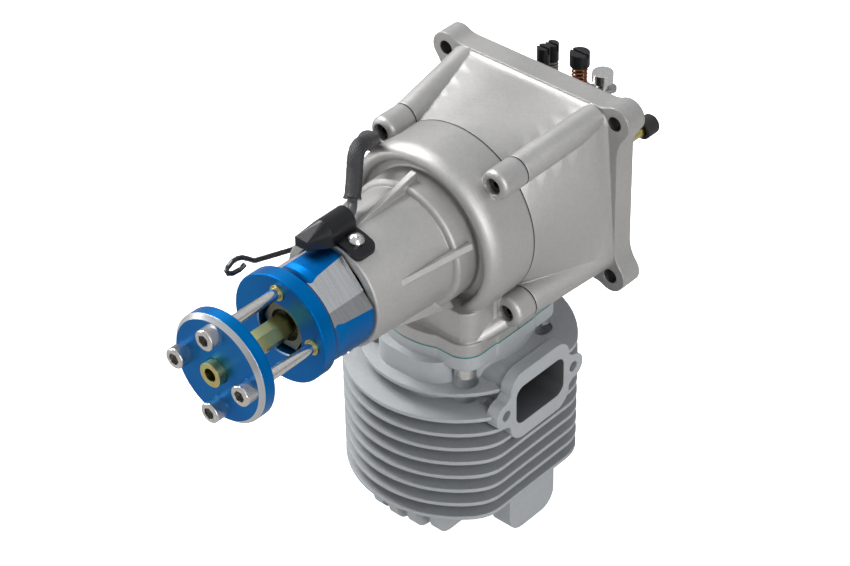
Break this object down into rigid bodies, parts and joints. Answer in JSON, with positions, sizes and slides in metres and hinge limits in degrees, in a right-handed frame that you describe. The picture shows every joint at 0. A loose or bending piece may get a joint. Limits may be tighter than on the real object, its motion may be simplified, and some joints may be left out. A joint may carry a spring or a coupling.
{
  "type": "model aircraft engine",
  "caption": "Inverted single-cylinder two-stroke petrol engine with flanged rear mounting, rear carburettor and reed valve, bolted propeller hub, spinner stud and hall sensor",
  "frame": {"origin": "centre of the four firewall bolts on the rear mounting face, on the crankshaft axis", "axes": "Y along the crankshaft with the propeller towards -Y, +Z away from the cylinder (up in the picture), +X to the exhaust side"},
  "size_m": [0.0914, 0.2135, 0.1662],
  "materials": {
    "cast_case": "sand-blasted die-cast aluminium, grey",
    "cast_cylinder": "sand-cast aluminium with a rough grey skin",
    "gasket_black": "thin black case gasket",
    "gasket_green": "dark green coated gasket",
    "gasket_brown": "brown fibre gasket",
    "black_steel": "black oxide steel",
    "zinc_steel": "bright zinc-plated steel",
    "sensor_plastic": "black moulded plastic",
    "black_plate": "black coated steel plate",
    "lead_grey": "grey cable sheath",
    "braided_sleeve": "black braided sleeve",
    "bearing_steel": "ground bearing steel",
    "bearing_balls": "polished bearing steel",
    "seal_rubber": "black rubber",
    "ground_steel": "ground steel",
    "blue_anodised": "turned aluminium, glossy blue anodised, bare where it is milled",
    "yellow_zinc": "yellow chromated zinc plating",
    "magnet_nickel": "nickel-plated magnet",
    "forged_steel": "forged steel, tinted",
    "spring_steel": "spring steel",
    "piston_alloy": "turned piston alloy",
    "reed_frame": "cast reed frame",
    "reed_carbon": "carbon fibre sheet",
    "insulator": "black phenolic block",
    "carb_alloy": "tumbled die-cast alloy",
    "brass_plate": "brass",
    "lever_steel": "stamped steel, zinc-plated",
    "dark_wire": "dark spring wire",
    "copper_spring": "copper-plated spring wire"
  },
  "bodies": {
    "engine": {"front_crankcase": "cast_case", "rear_crankcase": "cast_case", "crankcase_gasket": "gasket_black", "case_screws": "black_steel", "finned_cylinder": "cast_cylinder", "cylinder_gasket": "gasket_green", "cylinder_bolts": "zinc_steel", "hall_sensor": "sensor_plastic", "sensor_bracket": "black_plate", "bracket_screw": "zinc_steel", "sensor_lead": "lead_grey", "sensor_sleeve": "braided_sleeve", "lead_tail": "lead_grey", "sensor_plug": "sensor_plastic", "lead_clip": "sensor_plastic", "front_bearing_outer": "bearing_steel", "main_bearing_outer": "bearing_steel", "shaft_seal": "seal_rubber", "reed_block": "reed_frame", "reed_petals": "reed_carbon", "intake_block": "insulator", "intake_gaskets": "gasket_brown", "carb_body": "carb_alloy", "carb_bolts": "zinc_steel", "screw_springs": "copper_spring", "pump_cover": "carb_alloy", "metering_cover": "carb_alloy", "fuel_nipple": "yellow_zinc", "nipple_cap": "seal_rubber"},
    "rotor": {"crankshaft": "ground_steel", "front_bearing_inner": "bearing_steel", "main_bearing_inner": "bearing_steel", "prop_hub": "blue_anodised", "hub_nut": "yellow_zinc", "hub_inserts": "yellow_zinc", "hub_pins": "zinc_steel", "hub_magnet": "magnet_nickel", "prop_washer": "blue_anodised", "prop_bolts": "zinc_steel", "spinner_stud": "yellow_zinc"},
    "front_cage": {"front_bearing_balls": "bearing_balls"},
    "main_cage": {"main_bearing_balls": "bearing_balls"},
    "piston_group": {"piston": "piston_alloy", "piston_rings": "spring_steel", "wrist_pin": "ground_steel", "pin_clips": "spring_steel", "connecting_rod": "forged_steel", "rod_bearings": "bearing_balls", "crankpin": "ground_steel"},
    "throttle": {"throttle_shaft": "ground_steel", "throttle_plate": "brass_plate", "throttle_lever": "lever_steel"},
    "swivel": {"lever_swivel": "zinc_steel"},
    "choke": {"choke_shaft": "ground_steel", "choke_plate": "brass_plate", "choke_lever": "lever_steel"},
    "choke_pull": {"choke_wire": "dark_wire"},
    "idle_adjuster": {"idle_screw": "black_steel"},
    "low_adjuster": {"low_needle": "black_steel"},
    "high_adjuster": {"high_needle": "black_steel"}
  },
  "joints": [
    {"name": "crank_spin", "type": "hinge", "parent": "engine", "child": "rotor", "pos_m": [0, -0.1, 0], "axis": [0, -1, 0], "continuous": true},
    {"name": "front_cage_spin", "type": "hinge", "parent": "engine", "child": "front_cage", "pos_m": [0, -0.1056, 0], "axis": [0, -1, 0], "continuous": true},
    {"name": "main_cage_spin", "type": "hinge", "parent": "engine", "child": "main_cage", "pos_m": [0, -0.0678, 0], "axis": [0, -1, 0], "continuous": true},
    {"name": "piston_slide", "type": "slide", "parent": "engine", "child": "piston_group", "axis": [0, 0, 1], "range_m": [0, 0.038]},
    {"name": "throttle_turn", "type": "hinge", "parent": "engine", "child": "throttle", "pos_m": [-0.004, 0.0085, 0], "axis": [0, 0, -1], "range_deg": [0, 75], "stiffness_Nm_per_rad": 0.004, "springref_deg": -20.05},
    {"name": "swivel_turn", "type": "hinge", "parent": "throttle", "child": "swivel", "pos_m": [0.00798, 0.02299, 0.018], "axis": [0, 0, 1], "range_deg": [-90, 90]},
    {"name": "choke_turn", "type": "hinge", "parent": "engine", "child": "choke", "pos_m": [-0.004, 0.0242, 0], "axis": [0, 0, 1], "range_deg": [0, 75.1]},
    {"name": "choke_pull_slide", "type": "slide", "parent": "engine", "child": "choke_pull", "axis": [0, -1, 0], "range_m": [0, 0.012]},
    {"name": "idle_turn", "type": "hinge", "parent": "engine", "child": "idle_adjuster", "pos_m": [-0.0027, 0.023, 0.02], "axis": [0, 0, 1], "range_deg": [-180, 180]},
    {"name": "low_needle_turn", "type": "hinge", "parent": "engine", "child": "low_adjuster", "pos_m": [-0.0175, 0.0204, 0.02], "axis": [0, 0, 1], "range_deg": [-180, 180]},
    {"name": "high_needle_turn", "type": "hinge", "parent": "engine", "child": "high_adjuster", "pos_m": [-0.0175, 0.0255, 0.02], "axis": [0, 0, 1], "range_deg": [-180, 180]}
  ],
  "couplings": [
    {"joint": "front_cage_spin", "follows": "crank_spin", "ratio": 0.3962},
    {"joint": "main_cage_spin", "follows": "crank_spin", "ratio": 0.3789},
    {"joint": "choke_turn", "follows": "choke_pull_slide", "rad_per_m": 109.08}
  ]
}
